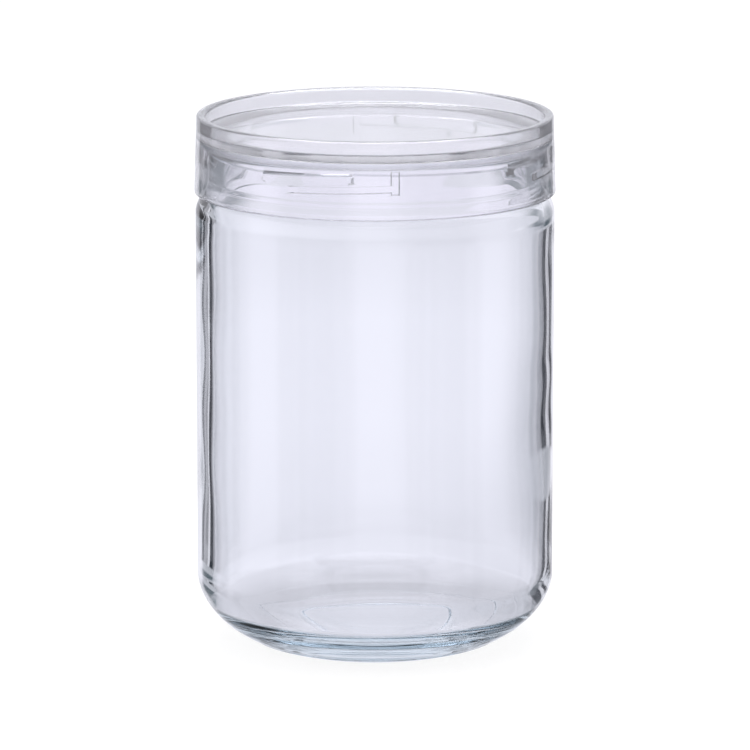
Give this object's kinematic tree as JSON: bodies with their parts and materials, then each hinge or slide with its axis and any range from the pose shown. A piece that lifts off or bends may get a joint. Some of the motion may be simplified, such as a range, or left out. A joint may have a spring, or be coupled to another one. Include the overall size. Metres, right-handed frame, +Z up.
{
  "type": "glass storage jar",
  "caption": "Round clear glass storage jar with a threaded neck, a clear plastic screw lid with a recessed stacking top, and a soft sealing ring.",
  "frame": {"origin": "centre of the ring that the jar stands on, at the height of the surface under it", "axes": "+Z up along the jar's axis, -Y towards the front of the picture, +X to its right"},
  "size_m": [0.105, 0.105, 0.1568],
  "materials": {
    "clear_glass": "clear pressed glass, smooth",
    "clear_plastic": "clear moulded plastic, glossy",
    "soft_seal": "translucent soft seal, satin"
  },
  "bodies": {
    "jar": {"glass_jar": "clear_glass"},
    "seal": {"lid_gasket": "soft_seal"},
    "lid": {"screw_lid": "clear_plastic"}
  },
  "joints": [
    {"name": "lid_rise", "type": "slide", "parent": "jar", "child": "seal", "axis": [0, 0, 1], "range_m": [0, 0.001]},
    {"name": "lid_turn", "type": "hinge", "parent": "seal", "child": "lid", "pos_m": [0, 0, 0.1452], "axis": [0, 0, 1], "range_deg": [0, 35]}
  ],
  "couplings": [
    {"joint": "lid_rise", "follows": "lid_turn", "m_per_rad": 0.0015915}
  ]
}
